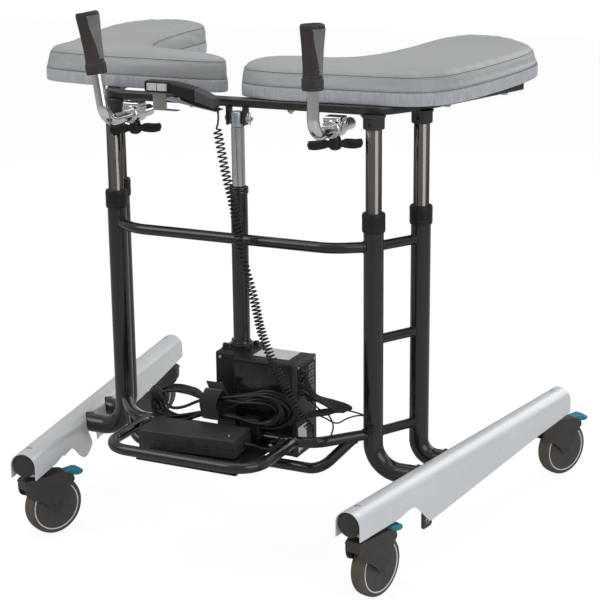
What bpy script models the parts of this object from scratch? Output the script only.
"""Electric stand-up and walking frame with forearm cushions.

Metres, +Z up, floor at z = 0. The front of the frame faces -Y and the user stands at
the +Y side, between the legs. Parts named left are on the -X side, right on +X.

The frame is drawn about the line midway between the legs, with Y = 0 at their middle.
The last step moves every part to put the origin under the middle of the footprint.
"""

import math

import bmesh
import bpy
from mathutils import Matrix, Vector

for old in list(bpy.data.objects):
    bpy.data.objects.remove(old, do_unlink=True)

# ---------------------------------------------------------------- shared dimensions
GAP = 0.0003              # clearance between neighbouring parts
PAST = 0.02               # how far a cutter runs past the piece it cuts
SHARP_DEG = 35.0          # edges folded more than this are shaded sharp
FOOTPRINT_MIDDLE = (-0.0352, 0.0639)
SIDES = {"left": -1, "right": 1}

# Legs: a level tube on each side, further apart at the rear. Points are (x, y).
LEG_R = 0.025
LEG_Z = 0.174
LEG_FRONT = (0.3646, -0.4255)
LEG_REAR = (0.5092, 0.4255)
LEG_LENGTH = math.hypot(LEG_REAR[0] - LEG_FRONT[0], LEG_REAR[1] - LEG_FRONT[1])
STEM_IN_FRONT = 0.0465    # castor stem from the front end of the leg
STEM_IN_REAR = 0.0424     # castor stem from the rear end of the leg
STEM_R = 0.008

# Posts: two on each side, bent outwards at the foot to meet the leg.
POST_R = 0.020
POST_TOP = 0.694
POST_BORE_R = 0.018
FRONT_POST = (0.293, -0.144)
REAR_POST = (0.350, -0.038)
POSTS = {
    f"{side_name}_{post_name}": (side * x, y)
    for side_name, side in SIDES.items()
    for post_name, (x, y) in (("front", FRONT_POST), ("rear", REAR_POST))
}
INNER_R = 0.016           # tubes that slide in the posts

FRAME_Z0 = 0.895          # top frame, rectangular tube
FRAME_Z1 = 0.912

ACTUATOR_Y = -0.148       # upright axis of the lifting column, at x = 0
ACTUATOR_R = 0.0175
BOX_TOP = 0.400           # top of the drive box
PIN_Z = 0.873
PIN_HOLE_R = 0.0043

# ---------------------------------------------------------------- collections and looks
parts = bpy.data.collections.new("stand_up_walking_frame")
helpers = bpy.data.collections.new("cutters")
bpy.context.scene.collection.children.link(parts)
bpy.context.scene.collection.children.link(helpers)

LOOKS = {
    "black": dict(colour=(0.020, 0.020, 0.022), metallic=0.0, roughness=0.28),
    "chrome": dict(colour=(0.80, 0.80, 0.82), metallic=1.0, roughness=0.08),
    "silver": dict(colour=(0.62, 0.65, 0.68), metallic=0.7, roughness=0.35),
    "fork": dict(colour=(0.085, 0.078, 0.074), metallic=0.0, roughness=0.50),
    "tyre": dict(colour=(0.16, 0.125, 0.095), metallic=0.0, roughness=0.60),
    "cyan": dict(colour=(0.02, 0.42, 0.58), metallic=0.0, roughness=0.35),
    "vinyl": dict(colour=(0.40, 0.42, 0.43), metallic=0.0, roughness=0.45),
    "plastic": dict(colour=(0.025, 0.025, 0.025), metallic=0.0, roughness=0.50),
    "grip": dict(colour=(0.035, 0.030, 0.028), metallic=0.0, roughness=0.60),
    "steel": dict(colour=(0.55, 0.55, 0.55), metallic=1.0, roughness=0.30),
    "cable": dict(colour=(0.012, 0.012, 0.012), metallic=0.0, roughness=0.45),
    "plate": dict(colour=(0.35, 0.34, 0.32), metallic=0.6, roughness=0.40),
}


def make_material(name, colour, metallic, roughness):
    made = bpy.data.materials.new(name)
    made.use_nodes = True
    inputs = made.node_tree.nodes["Principled BSDF"].inputs
    inputs["Base Color"].default_value = (*colour, 1.0)
    inputs["Metallic"].default_value = metallic
    inputs["Roughness"].default_value = roughness
    made.diffuse_color = (*colour, 1.0)
    return made


# ---------------------------------------------------------------- parts and Booleans
def face_out(shape):
    """Turns every face of a closed body outwards."""
    bmesh.ops.recalc_face_normals(shape, faces=shape.faces)
    if shape.calc_volume(signed=True) < 0:
        bmesh.ops.reverse_faces(shape, faces=shape.faces)


def add_part(name, shape, look, origin=(0, 0, 0)):
    """One part from a bmesh in world coordinates, with its origin at the given point."""
    face_out(shape)
    mesh = bpy.data.meshes.new(name)
    shape.to_mesh(mesh)
    shape.free()
    mesh.transform(Matrix.Translation(-Vector(origin)))
    mesh.shade_smooth()
    mesh.set_sharp_from_angle(angle=math.radians(SHARP_DEG))
    mesh.materials.append(make_material(name + "_material", **LOOKS[look]))
    made = bpy.data.objects.new(name, mesh)
    made.location = origin
    parts.objects.link(made)


def add_operand(name, shape):
    """A temporary object for a Boolean. The bmesh is used up."""
    face_out(shape)
    mesh = bpy.data.meshes.new(name)
    shape.to_mesh(mesh)
    shape.free()
    made = bpy.data.objects.new(name, mesh)
    helpers.objects.link(made)
    return made


def combine(first, others, operation):
    """The Boolean of bmeshes, with the exact solver. Every operand is used up."""
    base = add_operand("operand", first)
    used = [base]
    for index, other in enumerate(others):
        tool = add_operand(f"cutter_{index}", other)
        tool.hide_render = True
        used.append(tool)
        step = base.modifiers.new(f"step_{index}", "BOOLEAN")
        step.operation = operation
        step.solver = "EXACT"
        step.object = tool
    bpy.context.view_layer.update()
    graph = bpy.context.evaluated_depsgraph_get()
    result = bpy.data.meshes.new_from_object(base.evaluated_get(graph))
    made = bmesh.new()
    made.from_mesh(result)
    bmesh.ops.remove_doubles(made, verts=made.verts, dist=0.000002)
    for item in used:
        mesh = item.data
        bpy.data.objects.remove(item, do_unlink=True)
        bpy.data.meshes.remove(mesh)
    bpy.data.meshes.remove(result)
    return made


def union(first, *others):
    return combine(first, others, "UNION")


def minus(first, *others):
    return combine(first, others, "DIFFERENCE")


# ---------------------------------------------------------------- paths
def bent(points, radius, steps):
    """A polyline with each inner corner replaced by an arc."""
    points = [Vector(point) for point in points]
    out = [points[0]]
    for before, corner, after in zip(points, points[1:], points[2:]):
        back, ahead = (before - corner).normalized(), (after - corner).normalized()
        half = back.angle(ahead) / 2
        # The arc shrinks where a neighbouring straight is too short for it.
        reach = radius / math.tan(half)
        reach = min(reach, 0.48 * (before - corner).length, 0.48 * (after - corner).length)
        arc_radius = reach * math.tan(half)
        centre = corner + (back + ahead).normalized() * (arc_radius / math.sin(half))
        first = corner + back * reach - centre
        last = corner + ahead * reach - centre
        total = first.angle(last)
        for k in range(steps + 1):
            t = k / steps
            blend = first * math.sin((1 - t) * total) + last * math.sin(t * total)
            out.append(centre + blend / math.sin(total))
    out.append(points[-1])
    return out


def curve_span(before, start, end, after, steps):
    """Catmull-Rom points from start up to, but not including, end."""
    out = []
    for k in range(steps):
        t = k / steps
        out.append(
            0.5
            * (
                2 * start
                + (end - before) * t
                + (2 * before - 5 * start + 4 * end - after) * t * t
                + (3 * start - before - 3 * end + after) * t**3
            )
        )
    return out


def smooth_loop(points, steps):
    """A closed smooth curve through plan points."""
    count = len(points)
    out = []
    for i in range(count):
        near = [Vector(points[(i + step) % count]) for step in (-1, 0, 1, 2)]
        out += curve_span(*near, steps)
    return out


def smooth_line(points, steps):
    """An open smooth curve through points."""
    points = [Vector(point) for point in points]
    padded = [2 * points[0] - points[1], *points, 2 * points[-1] - points[-2]]
    out = []
    for near in zip(padded, padded[1:], padded[2:], padded[3:]):
        out += curve_span(*near, steps)
    return out + [points[-1]]


def cross_axes(path, closed):
    """Side and up directions at each point, carried along without twist."""
    count = len(path)
    tangents = []
    for i in range(count):
        before = path[i - 1] if (i or closed) else path[i]
        after = path[(i + 1) % count] if (i + 1 < count or closed) else path[i]
        tangents.append((after - before).normalized())
    side = tangents[0].orthogonal().normalized()
    out = []
    for i, tangent in enumerate(tangents):
        if i:
            side = tangents[i - 1].rotation_difference(tangent) @ side
        side = (side - tangent * side.dot(tangent)).normalized()
        out.append((side, tangent.cross(side)))
    return out


def turn_z(degrees):
    return Matrix.Rotation(math.radians(degrees), 4, "Z")


def turn_from_z(direction):
    """A rotation that takes +Z to the direction."""
    turn = Vector((0, 0, 1)).rotation_difference(Vector(direction).normalized())
    return turn.to_matrix().to_4x4()


# ---------------------------------------------------------------- solids
def join_rings(shape, first, second):
    """A band of quads between two closed rings of vertices."""
    count = len(first)
    for k in range(count):
        j = (k + 1) % count
        shape.faces.new((first[k], first[j], second[j], second[k]))


def add_rings(shape, rings):
    """Rings of points as vertices, each ring joined to the next."""
    rows = [[shape.verts.new(point) for point in ring] for ring in rings]
    for first, second in zip(rows, rows[1:]):
        join_rings(shape, first, second)
    return rows


def cap_ends(shape, rows):
    shape.faces.new(rows[0][::-1])
    shape.faces.new(rows[-1])


def loft(rings):
    """A body through rings of points, capped at both ends."""
    shape = bmesh.new()
    cap_ends(shape, add_rings(shape, rings))
    return shape


def box(x, y, z, turn=0.0):
    """A box between limits, optionally turned about the vertical through its middle."""
    shape = bmesh.new()
    bmesh.ops.create_cube(shape, size=1.0)
    middle = Vector(((x[0] + x[1]) / 2, (y[0] + y[1]) / 2, (z[0] + z[1]) / 2))
    size = Matrix.Diagonal((x[1] - x[0], y[1] - y[0], z[1] - z[0], 1.0))
    shape.transform(Matrix.Translation(middle) @ turn_z(turn) @ size)
    return shape


def rounded(shape, width, segments):
    """The shape with its sharp edges rounded over."""
    edges = [
        edge for edge in shape.edges
        if len(edge.link_faces) == 2 and edge.calc_face_angle() > 0.6
    ]
    bmesh.ops.bevel(
        shape, geom=edges, offset=width, segments=segments, affect="EDGES", profile=0.5
    )
    return shape


def rod(start, end, radius, segments=16):
    """A plain solid cylinder between two points."""
    start, end = Vector(start), Vector(end)
    shape = bmesh.new()
    bmesh.ops.create_cone(
        shape, cap_ends=True, segments=segments,
        radius1=radius, radius2=radius, depth=(end - start).length,
    )
    shape.transform(Matrix.Translation((start + end) / 2) @ turn_from_z(end - start))
    return shape


def upright_rod(x, y, z0, z1, radius, segments=16):
    return rod((x, y, z0), (x, y, z1), radius, segments)


def lathe(profile, base, axis=(0, 0, 1), segments=16):
    """A closed profile of (radius, height) turned about an axis through base."""
    shape = bmesh.new()
    rings = []
    for radius, height in profile:
        if radius < 1e-6:
            rings.append([shape.verts.new((0, 0, height))])
            continue
        angles = [2 * math.pi * k / segments for k in range(segments)]
        rings.append(
            [
                shape.verts.new((radius * math.cos(angle), radius * math.sin(angle), height))
                for angle in angles
            ]
        )
    for first, second in zip(rings, rings[1:] + rings[:1]):
        if len(first) > 1 and len(second) > 1:
            join_rings(shape, first, second)
            continue
        if len(first) == len(second):
            continue
        for k in range(segments):
            j = (k + 1) % segments
            if len(first) == 1:
                shape.faces.new((first[0], second[k], second[j]))
            else:
                shape.faces.new((first[k], first[j], second[0]))
    shape.transform(Matrix.Translation(Vector(base)) @ turn_from_z(axis))
    return shape


def sweep(path, radius, segments=10, closed=False):
    """A solid round bar along a path. The radius is a number or one per point."""
    radii = radius if isinstance(radius, list) else [radius] * len(path)
    rings = []
    for point, size, (side, up) in zip(path, radii, cross_axes(path, closed)):
        angles = [2 * math.pi * k / segments for k in range(segments)]
        rings.append(
            [
                point + side * (size * math.cos(angle)) + up * (size * math.sin(angle))
                for angle in angles
            ]
        )
    if not closed:
        return loft(rings)
    shape = bmesh.new()
    rows = add_rings(shape, rings)
    # The closing band starts at the vertex nearest to the start of the last ring.
    first, last = rows[0], rows[-1]
    shift = min(range(segments), key=lambda k: (last[0].co - first[k].co).length)
    join_rings(shape, last, first[shift:] + first[:shift])
    return shape


def flat_sweep(path, width, z0, z1):
    """A rectangular bar along a level path, mitred at its corners."""
    half = width / 2
    rings = []
    for i, point in enumerate(path):
        before = (point - path[i - 1]).normalized() if i else None
        after = (path[i + 1] - point).normalized() if i + 1 < len(path) else None
        arriving, leaving = before or after, after or before
        middle = (arriving + leaving).normalized()
        # The floor of 0.3 limits how far a mitre can stick out.
        stretch = max(0.3, math.cos(arriving.angle(leaving) / 2))
        side = Vector((middle.y, -middle.x, 0)) / stretch
        rings.append(
            [
                (*(point + side * sign * half).xy, z)
                for sign, z in ((-1, z0), (1, z0), (1, z1), (-1, z1))
            ]
        )
    return loft(rings)


def extrude_profile(points, width, place):
    """A side profile of (local x, z) given a thickness along the local y axis."""
    shape = bmesh.new()
    near = [shape.verts.new((x, -width / 2, z)) for x, z in points]
    far = [shape.verts.new((x, width / 2, z)) for x, z in points]
    shape.faces.new(near)
    shape.faces.new(far[::-1])
    count = len(points)
    for k in range(count):
        j = (k + 1) % count
        shape.faces.new((near[j], near[k], far[k], far[j]))
    shape.transform(place)
    return shape


# ---------------------------------------------------------------- legs
LEG_BORE_R = 0.0222
TAB_Y = (-0.203, -0.167)
TAB_Z = (0.087, 0.168)
TAB_CHAMFER = 0.006
TAB_T = 0.004
TAB_OUT = 0.0225          # middle of the tab outwards of the leg axis
TAB_HOLE_R = 0.0045
TAB_HOLE_Z = 0.103


def leg_point(side, along, across=0.0, z=LEG_Z):
    """A point from distances along the leg from its front end and outwards of its axis."""
    front = Vector((side * LEG_FRONT[0], LEG_FRONT[1], 0))
    rear = Vector((side * LEG_REAR[0], LEG_REAR[1], 0))
    direction = (rear - front).normalized()
    outward = Vector((side * direction.y, -side * direction.x, 0))
    return front + direction * along + outward * across + Vector((0, 0, z))


def leg_station(y):
    """Distance along the leg at a given y."""
    return (y - LEG_FRONT[1]) / (LEG_REAR[1] - LEG_FRONT[1]) * LEG_LENGTH


def leg_x_at(y):
    """Distance of the leg axis from the middle plane at a given y."""
    return LEG_FRONT[0] + (LEG_REAR[0] - LEG_FRONT[0]) * (y - LEG_FRONT[1]) / (
        LEG_REAR[1] - LEG_FRONT[1]
    )


def leg_cutter(side, radius, segments):
    """A cylinder on the leg axis that runs past both ends."""
    return rod(leg_point(side, -PAST), leg_point(side, LEG_LENGTH + PAST), radius, segments)


def leg_tab(side):
    """An upright tab hanging from the outer side of the leg, and the cutter for its hole."""
    start, end = (leg_station(y) for y in TAB_Y)
    bottom, top = TAB_Z
    direction = (leg_point(side, 1) - leg_point(side, 0)).normalized()
    turn = Matrix.Rotation(math.atan2(direction.y, direction.x), 4, "Z")
    outline = [
        (start, top),
        (start, bottom + TAB_CHAMFER),
        (start + TAB_CHAMFER, bottom),
        (end - TAB_CHAMFER, bottom),
        (end, bottom + TAB_CHAMFER),
        (end, top),
    ]
    place = Matrix.Translation(leg_point(side, 0, TAB_OUT, 0)) @ turn
    middle = (start + end) / 2
    hole = rod(
        leg_point(side, middle, 0.0150, TAB_HOLE_Z),
        leg_point(side, middle, 0.0350, TAB_HOLE_Z),
        TAB_HOLE_R, 12,
    )
    return extrude_profile(outline, TAB_T, place), hole


def add_leg_tube(name, side):
    tube = rod(leg_point(side, 0), leg_point(side, LEG_LENGTH), LEG_R, 20)
    cuts = [leg_cutter(side, LEG_BORE_R, 16)]
    # Only the right leg has the drilled tab.
    if side > 0:
        tab, hole = leg_tab(side)
        tube = union(tube, tab)
        cuts.append(hole)
    for along in (STEM_IN_FRONT, LEG_LENGTH - STEM_IN_REAR):
        bottom, top = leg_point(side, along, z=0.140), leg_point(side, along)
        cuts.append(rod(bottom, top, STEM_R + 0.0005, 12))
    add_part(f"leg_tube_{name}", minus(tube, *cuts), "black")


# ---------------------------------------------------------------- leg covers
COVER_R = 0.0280
COVER_T = 0.0016
COVER_ARCH_STEPS = 10
COVER_STATIONS_Y = [
    -0.43, -0.36, -0.29, -0.262, -0.243, -0.215, -0.192, -0.17, -0.06, 0.149, 0.28, 0.43,
]
SLOT_CLEARANCE = 0.0016   # around each post
SLOT_REACH = (0.010, 0.060)  # inwards of the leg axis

# Lower edges of the skirts: (y, z).
OUTER_EDGE = [
    (-0.43, 0.147), (-0.29, 0.146), (-0.262, 0.152), (-0.243, 0.1525), (-0.215, 0.132),
    (-0.180, 0.097), (0.149, 0.126), (0.28, 0.1365), (0.44, 0.147),
]
INNER_EDGE = [
    (-0.43, 0.146), (-0.30, 0.147), (-0.265, 0.150), (-0.240, 0.135), (-0.205, 0.112),
    (-0.170, 0.118), (0.149, 0.130), (0.28, 0.1365), (0.44, 0.147),
]


def edge_height(edge, y):
    """Height of a skirt edge, straight between its points."""
    for (y0, z0), (y1, z1) in zip(edge, edge[1:]):
        if y <= y1:
            return z0 + (z1 - z0) * (y - y0) / (y1 - y0)
    return edge[-1][1]


def cover_line(side, y, radius):
    """One surface of the cover at a station, from the inner edge over to the outer."""
    along = leg_station(y)
    line = [leg_point(side, along, -radius, edge_height(INNER_EDGE, y))]
    for k in range(COVER_ARCH_STEPS + 1):
        angle = math.pi - math.pi * k / COVER_ARCH_STEPS
        height = LEG_Z + radius * math.sin(angle)
        line.append(leg_point(side, along, radius * math.cos(angle), height))
    line.append(leg_point(side, along, radius, edge_height(OUTER_EDGE, y)))
    return line


def cover_sheet(side):
    """A folded sheet over the leg tube: an arch with a skirt on each side."""
    shape = bmesh.new()
    rows = add_rings(
        shape,
        [
            cover_line(side, y, COVER_R) + cover_line(side, y, COVER_R - COVER_T)[::-1]
            for y in COVER_STATIONS_Y
        ],
    )
    # The end caps are strips of quads from the outer surface to the inner one.
    count = len(rows[0])
    for row in (rows[0], rows[-1]):
        for k in range(count // 2 - 1):
            shape.faces.new((row[k], row[k + 1], row[count - 2 - k], row[count - 1 - k]))
    return shape


def add_leg_cover(name, side):
    """The sheet, with a slot open at the bottom where each post passes through."""
    slot_r = POST_R + SLOT_CLEARANCE
    cuts = []
    for _, y in (FRONT_POST, REAR_POST):
        x_start, x_end = (side * leg_x_at(y) - side * reach for reach in SLOT_REACH)
        cuts.append(rod((x_start, y, LEG_Z), (x_end, y, LEG_Z), slot_r, 14))
        cuts.append(box(sorted((x_start, x_end)), (y - slot_r, y + slot_r), (0.08, LEG_Z)))
    add_part(f"leg_cover_{name}", minus(cover_sheet(side), *cuts), "silver")


# ---------------------------------------------------------------- side frames
POST_BEND = 0.075
POST_BORE_END = 0.270     # bottom of the bore
RUNG_R = 0.010
RUNG_HEIGHTS = (0.637, 0.446, 0.251)
BUSH_R = 0.023
BUSH_TOP = 0.705
BUSH_BOTTOM = 0.655
INNER_WALL = 0.0022
INNER_BOTTOM = 0.400
INNER_TOP = FRAME_Z0 - 0.0025


def post_bar(side, post):
    """An upright that bends outwards at the foot to the leg axis."""
    x, y = post
    corners = [
        (side * x, y, POST_TOP), (side * x, y, LEG_Z), (side * leg_x_at(y), y, LEG_Z),
    ]
    return sweep(bent(corners, POST_BEND, 6), POST_R, 16)


def add_side_frame(name, side):
    """Two bored posts with rungs between them, cut to sit round the leg tube."""
    (front_x, front_y), (rear_x, rear_y) = FRONT_POST, REAR_POST
    rungs = [
        rod((side * front_x, front_y, z), (side * rear_x, rear_y, z), RUNG_R, 10)
        for z in RUNG_HEIGHTS
    ]
    body = union(post_bar(side, FRONT_POST), post_bar(side, REAR_POST), *rungs)
    cuts = [
        upright_rod(side * x, y, POST_BORE_END, POST_TOP + PAST, POST_BORE_R)
        for x, y in (FRONT_POST, REAR_POST)
    ]
    cuts.append(leg_cutter(side, LEG_R + GAP, 20))
    add_part(f"side_frame_{name}", minus(body, *cuts), "black")


def add_guide_bush(name, x, y):
    """A flanged bush in the top of a post."""
    profile = [
        (INNER_R + GAP, BUSH_TOP),
        (BUSH_R, BUSH_TOP),
        (BUSH_R, POST_TOP + GAP),
        (POST_BORE_R - GAP, POST_TOP + GAP),
        (POST_BORE_R - GAP, BUSH_BOTTOM),
        (INNER_R + GAP, BUSH_BOTTOM),
    ]
    add_part(f"guide_bush_{name}", lathe(profile, (x, y, 0)), "plastic")


def add_inner_tube(name, x, y):
    """The tube that slides in a post and carries the top frame."""
    profile = [
        (INNER_R, INNER_BOTTOM),
        (INNER_R, INNER_TOP),
        (INNER_R - INNER_WALL, INNER_TOP),
        (INNER_R - INNER_WALL, INNER_BOTTOM),
    ]
    add_part(
        f"inner_tube_{name}", lathe(profile, (x, y, 0)), "chrome", origin=(x, y, INNER_BOTTOM)
    )


# ---------------------------------------------------------------- cross tubes
BAR_R = 0.011
UPPER_BAR_Z = RUNG_HEIGHTS[0]
UPPER_BAR_CORNER = (0.225, -0.190)
LOWER_BAR_Z = 0.250
LOWER_BAR_Y = -0.250
LOWER_CORNER_X = 0.205
LOOP_X = 0.168
LOOP_Y = -0.430
CRADLE_END = (0.268, -0.172, LOWER_BAR_Z)
CRADLE_CORNER = (0.215, -0.232, 0.190)

PLATE_X = (-0.090, 0.132)
PLATE_Y = (-0.434, -0.240)
PLATE_Z = (0.2355, 0.2385)
CHARGER_X = (-0.116, 0.092)
CHARGER_Y = (-0.377, -0.293)
CHARGER_Z0 = PLATE_Z[1] + GAP
CHARGER_HEIGHT = 0.040
CHARGER_TURN = 5.0


def mirrored_path(half, bend, steps):
    """A bent path through the given +X points and their mirror images, from -X to +X."""
    mirror = [(-x, y, z) for x, y, z in half]
    return bent(mirror + half[::-1], bend, steps)


def cut_round_posts(shape):
    x, y = FRONT_POST
    cuts = [upright_rod(side * x, y, 0.12, 0.70, POST_R + GAP) for side in (-1, 1)]
    return minus(shape, *cuts)


def add_upper_crossbar():
    half = [(*FRONT_POST, UPPER_BAR_Z), (*UPPER_BAR_CORNER, UPPER_BAR_Z)]
    bar = sweep(mirrored_path(half, 0.10, 4), BAR_R)
    add_part("upper_crossbar", cut_round_posts(bar), "black")


def add_lower_frame():
    """The lower crossbar with a loop to the front and a cradle below."""
    bar_half = [(*FRONT_POST, LOWER_BAR_Z), (LOWER_CORNER_X, LOWER_BAR_Y, LOWER_BAR_Z)]
    loop_half = [(LOOP_X, LOWER_BAR_Y, LOWER_BAR_Z), (LOOP_X, LOOP_Y, LOWER_BAR_Z)]
    bar = sweep(mirrored_path(bar_half, 0.07, 4), BAR_R)
    loop = sweep(mirrored_path(loop_half, 0.055, 5), BAR_R)
    cradle = sweep(mirrored_path([CRADLE_END, CRADLE_CORNER], 0.05, 3), BAR_R)
    add_part("lower_frame", cut_round_posts(union(bar, loop, cradle)), "black")


def add_tray():
    """The plate on the front loop and the charger that lies on it."""
    add_part("tray_plate", box(PLATE_X, PLATE_Y, PLATE_Z), "black")
    charger_z = (CHARGER_Z0, CHARGER_Z0 + CHARGER_HEIGHT)
    charger = rounded(box(CHARGER_X, CHARGER_Y, charger_z, CHARGER_TURN), 0.003, 2)
    add_part("charger", charger, "plastic")


# ---------------------------------------------------------------- lifting column
BOX_X = (0.020, 0.163)
BOX_Y = (-0.228, -0.135)
BOX_BOTTOM = 0.2055
BOX_WALL = 0.003
GEAR_X = (-0.036, 0.026)
GEAR_Y = (-0.200, -0.104)
GEAR_BOTTOM = 0.215
CAVITY_BOTTOM = 0.19      # below the box, so that it is open underneath

MOTOR_AT = (0.056, -0.182, 0)
MOTOR_PROFILE = [  # (radius, height)
    (0.0, 0.236), (0.024, 0.236), (0.026, 0.240), (0.026, 0.330), (0.010, 0.334),
    (0.010, 0.345), (0.0, 0.345),
]
BATTERY_X = (0.088, 0.157)
BATTERY_Y = (-0.221, -0.143)
BATTERY_Z = (0.212, 0.380)

ACTUATOR_BORE_R = 0.0142
ACTUATOR_BOTTOM = 0.330
ACTUATOR_TOP = 0.735
COLLAR_R = 0.025
CAP_R = 0.0195
PISTON_R = 0.0135
PISTON_BORE_R = 0.0080
PISTON_BORE_TOP = 0.850
PISTON_BOTTOM = 0.460
PISTON_TOP = 0.888
SCREW_R = 0.006
SCREW_BOTTOM = 0.338
SCREW_TOP = 0.730
PIN_PROFILE = [  # (radius, x)
    (0.0, -0.026), (0.0065, -0.026), (0.0065, -0.0215), (0.004, -0.0215), (0.004, 0.034),
    (0.0, 0.034),
]


def shrunk(limits, margin):
    return limits[0] + margin, limits[1] - margin


def add_drive_box():
    """A box and a gear case in one shell, open below and joined inside."""
    wall = BOX_WALL
    housing = union(
        rounded(box(BOX_X, BOX_Y, (BOX_BOTTOM, BOX_TOP)), 0.003, 1),
        rounded(box(GEAR_X, GEAR_Y, (GEAR_BOTTOM, BOX_TOP - 0.001)), 0.003, 1),
    )
    ceiling = BOX_TOP - wall
    housing = minus(
        housing,
        box(shrunk(BOX_X, wall), shrunk(BOX_Y, wall), (CAVITY_BOTTOM, ceiling)),
        box(shrunk(GEAR_X, wall), shrunk(GEAR_Y, wall), (CAVITY_BOTTOM, ceiling - 0.001)),
        box(
            (0.0, GEAR_X[1] + 0.01),
            (GEAR_Y[0] + 2 * wall, BOX_Y[1] - 2 * wall),
            (CAVITY_BOTTOM, ceiling - 0.002),
        ),
        upright_rod(0, ACTUATOR_Y, 0.38, 0.42, ACTUATOR_R + GAP, 20),
    )
    add_part("drive_box", housing, "plastic")


def add_motor_and_battery():
    add_part("drive_motor", lathe(MOTOR_PROFILE, MOTOR_AT), "steel")
    battery = rounded(box(BATTERY_X, BATTERY_Y, BATTERY_Z), 0.003, 1)
    add_part("battery_pack", battery, "plastic")


def add_actuator_tube():
    """The fixed tube, with a collar on the drive box and a cap ring at the top."""
    profile = [
        (ACTUATOR_BORE_R, ACTUATOR_BOTTOM),
        (ACTUATOR_R, ACTUATOR_BOTTOM),
        (ACTUATOR_R, BOX_TOP + GAP),
        (COLLAR_R, BOX_TOP + GAP),
        (COLLAR_R, BOX_TOP + 0.008),
        (ACTUATOR_R + 0.001, BOX_TOP + 0.014),
        (ACTUATOR_R, BOX_TOP + 0.014),
        (ACTUATOR_R, ACTUATOR_TOP - 0.014),
        (CAP_R, ACTUATOR_TOP - 0.013),
        (CAP_R, ACTUATOR_TOP - 0.001),
        (CAP_R - 0.001, ACTUATOR_TOP),
        (ACTUATOR_BORE_R, ACTUATOR_TOP),
    ]
    add_part("actuator_tube", lathe(profile, (0, ACTUATOR_Y, 0)), "black")


def pin_hole(half_length):
    """A cutter along X for the clevis pin."""
    ends = [(x, ACTUATOR_Y, PIN_Z) for x in (-half_length, half_length)]
    return rod(*ends, PIN_HOLE_R, 12)


def add_actuator_rod():
    """The sliding rod, bored from below to clear the lead screw."""
    profile = [
        (0.0, PISTON_BORE_TOP),
        (PISTON_BORE_R, PISTON_BORE_TOP),
        (PISTON_BORE_R, PISTON_BOTTOM),
        (PISTON_R, PISTON_BOTTOM),
        (PISTON_R, PISTON_TOP - 0.002),
        (PISTON_R - 0.002, PISTON_TOP),
        (0.0, PISTON_TOP),
    ]
    piston = minus(lathe(profile, (0, ACTUATOR_Y, 0)), pin_hole(0.03))
    add_part("actuator_rod", piston, "chrome", origin=(0, ACTUATOR_Y, PISTON_BOTTOM))


def add_lead_screw():
    profile = [
        (0.0, SCREW_BOTTOM),
        (SCREW_R, SCREW_BOTTOM),
        (SCREW_R, SCREW_TOP - 0.002),
        (SCREW_R - 0.0015, SCREW_TOP),
        (0.0, SCREW_TOP),
    ]
    screw = lathe(profile, (0, ACTUATOR_Y, 0))
    add_part("lead_screw", screw, "steel", origin=(0, ACTUATOR_Y, SCREW_BOTTOM))


def add_clevis_pin():
    pin = lathe(PIN_PROFILE, (0, ACTUATOR_Y, PIN_Z), (1, 0, 0), 14)
    add_part("clevis_pin", pin, "steel")


# ---------------------------------------------------------------- top frame
FRAME_W = 0.028
FRONT_BAR_Y = -0.135
FRAME_CORNER_X = 0.300
ARM_END = (0.437, 0.292)
SOCKET_R = 0.021
SOCKET_BOTTOM = 0.869
WELD_TOP = FRAME_Z0 + 0.004   # sockets and cheeks reach into the tube
CHEEK_X = (0.0165, 0.0205)
CHEEK_BOTTOM = 0.860


def add_top_frame():
    """A bent bar with two arms, a socket for each inner tube and two clevis cheeks."""
    half = [(*ARM_END, 0), (*REAR_POST, 0), (FRAME_CORNER_X, FRONT_BAR_Y, 0)]
    arms = flat_sweep(mirrored_path(half, 0.045, 4), FRAME_W, FRAME_Z0, FRAME_Z1)
    sockets = [
        upright_rod(x, y, SOCKET_BOTTOM, WELD_TOP, SOCKET_R) for x, y in POSTS.values()
    ]
    near, far = CHEEK_X
    cheeks = [
        box(x_limits, (ACTUATOR_Y - 0.012, ACTUATOR_Y + 0.012), (CHEEK_BOTTOM, WELD_TOP))
        for x_limits in ((-far, -near), (near, far))
    ]
    holes = [
        upright_rod(x, y, SOCKET_BOTTOM - PAST, FRAME_Z0 - 0.002, INNER_R + GAP)
        for x, y in POSTS.values()
    ]
    frame = minus(union(arms, *sockets, *cheeks), *holes, pin_hole(0.04))
    add_part("top_frame", frame, "black", origin=(0, FRONT_BAR_Y, FRAME_Z0))


# ---------------------------------------------------------------- cushions
PAD_BOTTOM = 0.9125
PAD_SHOULDER = 0.0115     # height of the rounded shoulder above the seam
PAD_SEAM_Z = {"left": 0.9735, "right": 0.9650}
PAD_ORIGIN = (0.366, 0.020)

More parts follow.
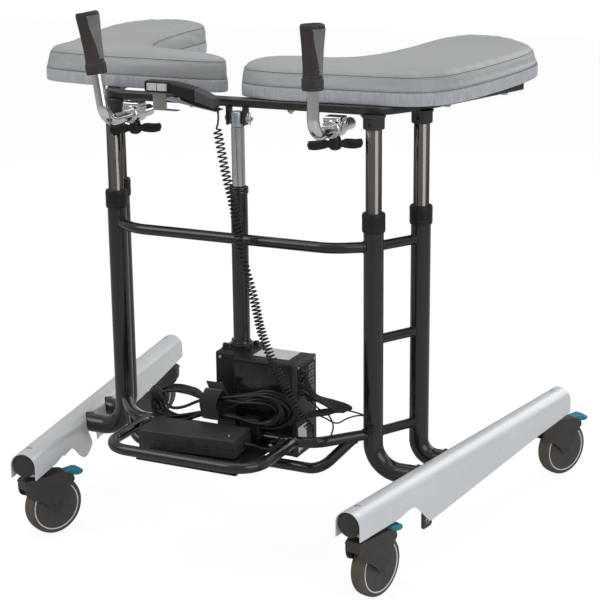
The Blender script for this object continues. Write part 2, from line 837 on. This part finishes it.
# Plan outlines: (x, y).
PAD_OUTLINES = {
    "left": [
        (-0.058, -0.078), (-0.072, -0.098), (-0.110, -0.105), (-0.172, -0.105),
        (-0.235, -0.104), (-0.300, -0.103), (-0.360, -0.100), (-0.420, -0.092),
        (-0.480, -0.079), (-0.513, -0.060), (-0.530, -0.028), (-0.545, 0.040),
        (-0.573, 0.135), (-0.607, 0.245), (-0.636, 0.360), (-0.638, 0.465),
        (-0.612, 0.543), (-0.545, 0.568), (-0.480, 0.553), (-0.432, 0.515),
        (-0.410, 0.460), (-0.405, 0.390), (-0.394, 0.314), (-0.376, 0.227),
        (-0.352, 0.147), (-0.318, 0.085), (-0.270, 0.042), (-0.205, 0.014),
        (-0.135, -0.012), (-0.078, -0.044),
    ],
    "right": [
        (-0.018, -0.098), (0.004, -0.126), (0.050, -0.143), (0.100, -0.149),
        (0.194, -0.143), (0.294, -0.139), (0.366, -0.127), (0.416, -0.080),
        (0.438, 0.0), (0.450, 0.090), (0.459, 0.20), (0.461, 0.325), (0.441, 0.415),
        (0.385, 0.495), (0.335, 0.545), (0.285, 0.568), (0.236, 0.562), (0.205, 0.525),
        (0.186, 0.445), (0.182, 0.315), (0.175, 0.190), (0.157, 0.110), (0.115, 0.072),
        (0.040, 0.066), (-0.012, 0.052), (-0.038, 0.015), (-0.038, -0.045),
    ],
}


def add_cushion(name, side):
    """A padded slab with upright sides, a rounded shoulder and a level top."""
    loop = smooth_loop(PAD_OUTLINES[name], 2)
    area = sum(here.x * ahead.y - ahead.x * here.y for here, ahead in zip(loop, loop[1:] + loop[:1]))
    normals = []
    for i in range(len(loop)):
        tangent = (loop[(i + 1) % len(loop)] - loop[i - 1]).normalized()
        normal = Vector((tangent.y, -tangent.x))
        normals.append(normal if area > 0 else -normal)
    seam = PAD_SEAM_Z[name]
    levels = (  # (inset, z)
        (0.0, PAD_BOTTOM), (0.0, seam), (0.0035, seam + 0.0065), (0.0110, seam + PAD_SHOULDER),
    )
    pad = loft(
        [
            [(*(point - normal * inset), z) for point, normal in zip(loop, normals)]
            for inset, z in levels
        ]
    )
    x, y = PAD_ORIGIN
    add_part(f"cushion_{name}", pad, "vinyl", origin=(side * x, y, PAD_BOTTOM))


# ---------------------------------------------------------------- handles
HANDLE_R = 0.012
HANDLE_Z = 0.870
HANDLE_Y = -0.270         # upright part of the tube
HANDLE_END_Y = -0.100
HANDLE_BEND = 0.034
GRIP_END_T = 0.0155       # from the top of the grip to the bottom of its bore end
CLAMP_Z0 = 0.855
CLAMP_HALF_X = 0.019
CLAMP_HALF_Y = 0.021
CLAMP_BORE_R = 0.0128     # the flats of the bore clear the turning tube
CLAMP_BOLT_HOLE_R = 0.0043
WING_TURN = 25.0
WING_T = 0.016
KNOB_ORIGIN_Z = 0.840
WING = [  # (along the wing, z)
    (-0.054, 0.829), (-0.052, 0.827), (-0.022, 0.829), (-0.015, 0.833), (0.015, 0.834),
    (0.022, 0.830), (0.052, 0.832), (0.054, 0.834), (0.054, 0.846), (0.051, 0.848),
    (0.013, 0.849), (-0.013, 0.848), (-0.051, 0.841), (-0.054, 0.838),
]
# Lean is in degrees about the Y axis through the tube.
HANDLES = {
    "left": dict(x=-0.232, lean=-8.5, clamp_y=-0.158, grip_z=(0.965, 1.087)),
    "right": dict(x=0.224, lean=0.0, clamp_y=-0.172, grip_z=(0.9565, 1.0785)),
}


def add_handle(name, x, lean, clamp_y, grip_z):
    """The bent tube with its grip, both leaned about the level part of the tube."""
    z0, z1 = grip_z
    axis = Vector((x, HANDLE_Y, HANDLE_Z))
    tilt = (
        Matrix.Translation(axis)
        @ Matrix.Rotation(math.radians(lean), 4, "Y")
        @ Matrix.Translation(-axis)
    )
    origin = (x, clamp_y, HANDLE_Z)
    corners = [(x, HANDLE_END_Y, HANDLE_Z), axis, (x, HANDLE_Y, z1 - 0.016)]
    tube = sweep(bent(corners, HANDLE_BEND, 5), HANDLE_R, 12)
    tube.transform(tilt)
    add_part(f"handle_tube_{name}", tube, "chrome", origin)
    profile = [
        (0.0, z1 - GRIP_END_T),
        (HANDLE_R + GAP, z1 - GRIP_END_T),
        (HANDLE_R + GAP, z0),
        (0.0195, z0),
        (0.0210, z0 + 0.002),
        (0.0210, z0 + 0.024),
        (0.0195, z0 + 0.028),
        (0.0190, z0 + 0.050),
        (0.0205, z0 + 0.078),
        (0.0232, z0 + 0.102),
        (0.0240, z1 - 0.006),
        (0.0215, z1 - 0.001),
        (0.0180, z1),
        (0.0, z1 - 0.001),
    ]
    grip = lathe(profile, (x, HANDLE_Y, 0))
    grip.transform(tilt)
    add_part(f"handle_grip_{name}", grip, "grip", origin)


def add_handle_clamp(name, x, y):
    """The block under the top frame, bored for the tube and for the knob's bolt."""
    block = box(
        (x - CLAMP_HALF_X, x + CLAMP_HALF_X),
        (y - CLAMP_HALF_Y, y + CLAMP_HALF_Y),
        (CLAMP_Z0, FRAME_Z0 - GAP),
    )
    block = minus(
        rounded(block, 0.003, 1),
        rod((x, y - 0.03, HANDLE_Z), (x, y + 0.03, HANDLE_Z), CLAMP_BORE_R, 14),
        upright_rod(x, y, CLAMP_Z0 - 0.01, HANDLE_Z, CLAMP_BOLT_HOLE_R, 12),
    )
    add_part(f"handle_clamp_{name}", block, "chrome")


def add_clamp_knob(name, x, y):
    """A wing with a round hub and a bolt."""
    knob = union(
        extrude_profile(WING, WING_T, Matrix.Translation((x, y, 0)) @ turn_z(WING_TURN)),
        upright_rod(x, y, 0.836, CLAMP_Z0 - GAP, 0.0115),
        upright_rod(x, y, 0.845, 0.8573, 0.0040, 12),
    )
    add_part(f"clamp_knob_{name}", knob, "plastic", origin=(x, y, KNOB_ORIGIN_Z))


# ---------------------------------------------------------------- hand control
CONTROL_Y = -0.190
CONTROL_W = 0.030
CONTROL_STATIONS = [  # (x, middle z, half height)
    (-0.180, 0.9345, 0.0115), (-0.120, 0.9335, 0.0120), (-0.066, 0.9225, 0.0125),
    (-0.022, 0.9075, 0.0100),
]
BUTTONS = {"up": (-0.163, 0.9345), "down": (-0.138, 0.9340)}  # (x, z)
BUTTON_FRONT_Y = CONTROL_Y - 0.0162
STRIP = [(-0.146, 0.9075), (-0.030, 0.8890), (-0.030, 0.8910), (-0.146, 0.9095)]  # (x, z)


def add_hand_control():
    """A case with a pocket for each button in its front."""
    top = [(x, z + half) for x, z, half in CONTROL_STATIONS]
    bottom = [(x, z - half) for x, z, half in CONTROL_STATIONS]
    place = Matrix.Translation((0, CONTROL_Y, 0))
    case = rounded(extrude_profile(top + bottom[::-1], CONTROL_W, place), 0.004, 2)
    pocket_y = (CONTROL_Y - 0.020, CONTROL_Y - 0.0118)
    pockets = [
        box((x - 0.0088, x + 0.0088), pocket_y, (z - 0.0063, z + 0.0063))
        for x, z in BUTTONS.values()
    ]
    add_part(
        "hand_control", minus(case, *pockets), "plastic", origin=(-0.100, CONTROL_Y, 0.925)
    )


def add_button(name, x, z):
    button_y = (BUTTON_FRONT_Y, CONTROL_Y - 0.0131)
    key = box((x - 0.0085, x + 0.0085), button_y, (z - 0.006, z + 0.006))
    add_part(f"button_{name}", rounded(key, 0.001, 1), "silver", origin=(x, BUTTON_FRONT_Y, z))


def add_control_hook():
    """An upright plate, a level lip at its foot and a strip sloping down towards +X."""
    hook = box((-0.171, -0.140), (-0.186, -0.184), (0.886, 0.9215))
    lip = box((-0.171, -0.116), (-0.186, -0.170), (0.8845, 0.8865))
    strip = extrude_profile(STRIP, 0.0365, Matrix.Translation((0, -0.16775, 0)))
    add_part("control_hook", union(hook, lip, strip), "plate")


# ---------------------------------------------------------------- cables
# Centre line points (x, y, z), from the control downwards.
LEAD = [(-0.0195, CONTROL_Y, 0.900), (-0.014, -0.200, 0.885), (-0.011, -0.212, 0.868)]
LEAD_RADII = [0.0025, 0.0025, 0.0030]
COIL = [
    (-0.010, -0.215, 0.863), (0.008, -0.220, 0.782), (0.029, -0.225, 0.706),
    (0.050, -0.235, 0.618), (0.080, -0.245, 0.534), (0.102, -0.255, 0.467),
    (0.141, -0.268, 0.398), (0.186, -0.282, 0.335), (0.222, -0.277, 0.287),
]
COIL_R = 0.0095
BUNDLE_MIDDLE = (-0.030, -0.270, 0.316)
BUNDLE_REACH = (0.100, 0.020, 0.014)   # half size of the ring along x, y and z
BUNDLE_R = 0.0105
BUNDLE_STEPS = 18


def add_coil_cable():
    """A thin lead that thickens into the outline of the coil."""
    coil = smooth_line(COIL, 2)
    path = [Vector(point) for point in LEAD] + coil
    add_part("coil_cable", sweep(path, LEAD_RADII + [COIL_R] * len(coil), 8), "cable")


def add_cable_bundle():
    """A closed, tilted oval ring."""
    x, y, z = BUNDLE_MIDDLE
    reach_x, reach_y, reach_z = BUNDLE_REACH
    path = []
    for k in range(BUNDLE_STEPS):
        angle = 2 * math.pi * k / BUNDLE_STEPS
        swing = math.sin(angle)
        path.append(
            Vector((x + reach_x * math.cos(angle), y - reach_y * swing, z - reach_z * swing))
        )
    add_part("cable_bundle", sweep(path, BUNDLE_R, 8, closed=True), "cable")


# ---------------------------------------------------------------- castors
WHEEL_R = 0.0625
WHEEL_W = 0.030
WHEEL_HUB_HALF = 0.0145
TRAIL = 0.040             # axle from the swivel axis
FORK_TOP = 0.134
FORK_W = 0.042
AXLE_R = 0.004
AXLE_HALF = 0.0225
CASTORS = {  # (side, stem along the leg, direction of the trail in degrees from +X)
    "fl": (-1, STEM_IN_FRONT, 64.0),
    "fr": (1, STEM_IN_FRONT, 76.0),
    "rl": (-1, LEG_LENGTH - STEM_IN_REAR, 200.0),
    "rr": (1, LEG_LENGTH - STEM_IN_REAR, 62.0),
}
# Side profiles: (distance from the swivel axis along the trail, z).
FORK_SIDE = [
    (-0.026, FORK_TOP), (-0.030, 0.122), (-0.026, 0.110), (-0.010, 0.099), (0.016, 0.076),
    (0.029, 0.055), (0.040, 0.0505), (0.051, 0.055), (0.061, 0.075), (0.074, 0.098),
    (0.083, 0.110), (0.081, 0.122), (0.068, 0.131), (0.045, FORK_TOP),
]
LEVER = [
    (0.0665, 0.1238), (0.0780, 0.1190), (0.0900, 0.1165), (0.1040, 0.1175),
    (0.1090, 0.1215), (0.1070, 0.1270), (0.0900, 0.1325), (0.0700, 0.1328),
    (0.0665, 0.1310),
]
PADDLE = [(0.0850, 0.1180), *LEVER[2:7], (0.0850, 0.1325)]  # the wider tip of the lever


def add_castor_fork(name, stem, place, axle, across):
    """The fork with its stem, hollowed for the wheel, the pedal and the axle."""

    def across_rod(half, radius, segments):
        return rod(axle - across * half, axle + across * half, radius, segments)

    def stem_rod(z0, z1, radius, segments):
        return rod(place @ Vector((0, 0, z0)), place @ Vector((0, 0, z1)), radius, segments)

    body = union(
        extrude_profile(FORK_SIDE, FORK_W, place),
        stem_rod(0.1315, LEG_Z - LEG_R - GAP, 0.0125, 18),
        stem_rod(0.140, 0.188, STEM_R, 14),
    )
    pedal_seat = box((0.0655, 0.100), (-0.0150, 0.0150), (0.105, 0.150))
    pedal_seat.transform(place)
    body = minus(
        body,
        across_rod(WHEEL_W / 2 + 0.0015, WHEEL_R + 0.003, 24),
        pedal_seat,
        across_rod(0.03, AXLE_R + GAP, 12),
    )
    add_part(f"castor_fork_{name}", body, "fork", origin=stem)


def add_castor_wheel(name, axle, across):
    """The wheel, with recessed faces between hub and rim, and its axle."""
    half = WHEEL_W / 2
    one_side = [
        (AXLE_R + 0.0004, WHEEL_HUB_HALF), (0.013, WHEEL_HUB_HALF), (0.015, 0.010),
        (0.045, 0.010), (0.047, half), (0.056, half), (WHEEL_R, 0.008),
    ]
    profile = [(radius, -offset) for radius, offset in one_side] + one_side[::-1]
    wheel = lathe(profile, axle, across, 24)
    add_part(f"castor_wheel_{name}", wheel, "tyre", origin=axle)
    pin = rod(axle - across * AXLE_HALF, axle + across * AXLE_HALF, AXLE_R, 12)
    add_part(f"castor_axle_{name}", pin, "steel", origin=axle)


def add_brake_pedal(name, place):
    pedal = union(extrude_profile(LEVER, 0.0284, place), extrude_profile(PADDLE, 0.0380, place))
    add_part(f"brake_pedal_{name}", pedal, "cyan", origin=place @ Vector((0.070, 0, 0.1285)))


def add_castor(name, side, along, trail_degrees):
    stem = leg_point(side, along, z=0)
    turn = turn_z(trail_degrees)
    place = Matrix.Translation(stem) @ turn
    axle = place @ Vector((TRAIL, 0, WHEEL_R))
    across = (turn @ Vector((0, 1, 0))).normalized()
    add_castor_fork(name, stem, place, axle, across)
    add_castor_wheel(name, axle, across)
    add_brake_pedal(name, place)


# ---------------------------------------------------------------- assembly
for side_name, side_sign in SIDES.items():
    add_leg_tube(side_name, side_sign)
    add_leg_cover(side_name, side_sign)
    add_side_frame(side_name, side_sign)
    add_cushion(side_name, side_sign)

for post_name, (post_x, post_y) in POSTS.items():
    add_guide_bush(post_name, post_x, post_y)
    add_inner_tube(post_name, post_x, post_y)

add_upper_crossbar()
add_lower_frame()
add_tray()

add_drive_box()
add_motor_and_battery()
add_actuator_tube()
add_actuator_rod()
add_lead_screw()
add_clevis_pin()
add_top_frame()

for handle_name, handle in HANDLES.items():
    add_handle(handle_name, **handle)
    add_handle_clamp(handle_name, handle["x"], handle["clamp_y"])
    add_clamp_knob(handle_name, handle["x"], handle["clamp_y"])

add_hand_control()
for button_name, (button_x, button_z) in BUTTONS.items():
    add_button(button_name, button_x, button_z)
add_control_hook()
add_coil_cable()
add_cable_bundle()

for castor_name, castor in CASTORS.items():
    add_castor(castor_name, *castor)

for part in parts.objects:
    part.location.x -= FOOTPRINT_MIDDLE[0]
    part.location.y -= FOOTPRINT_MIDDLE[1]
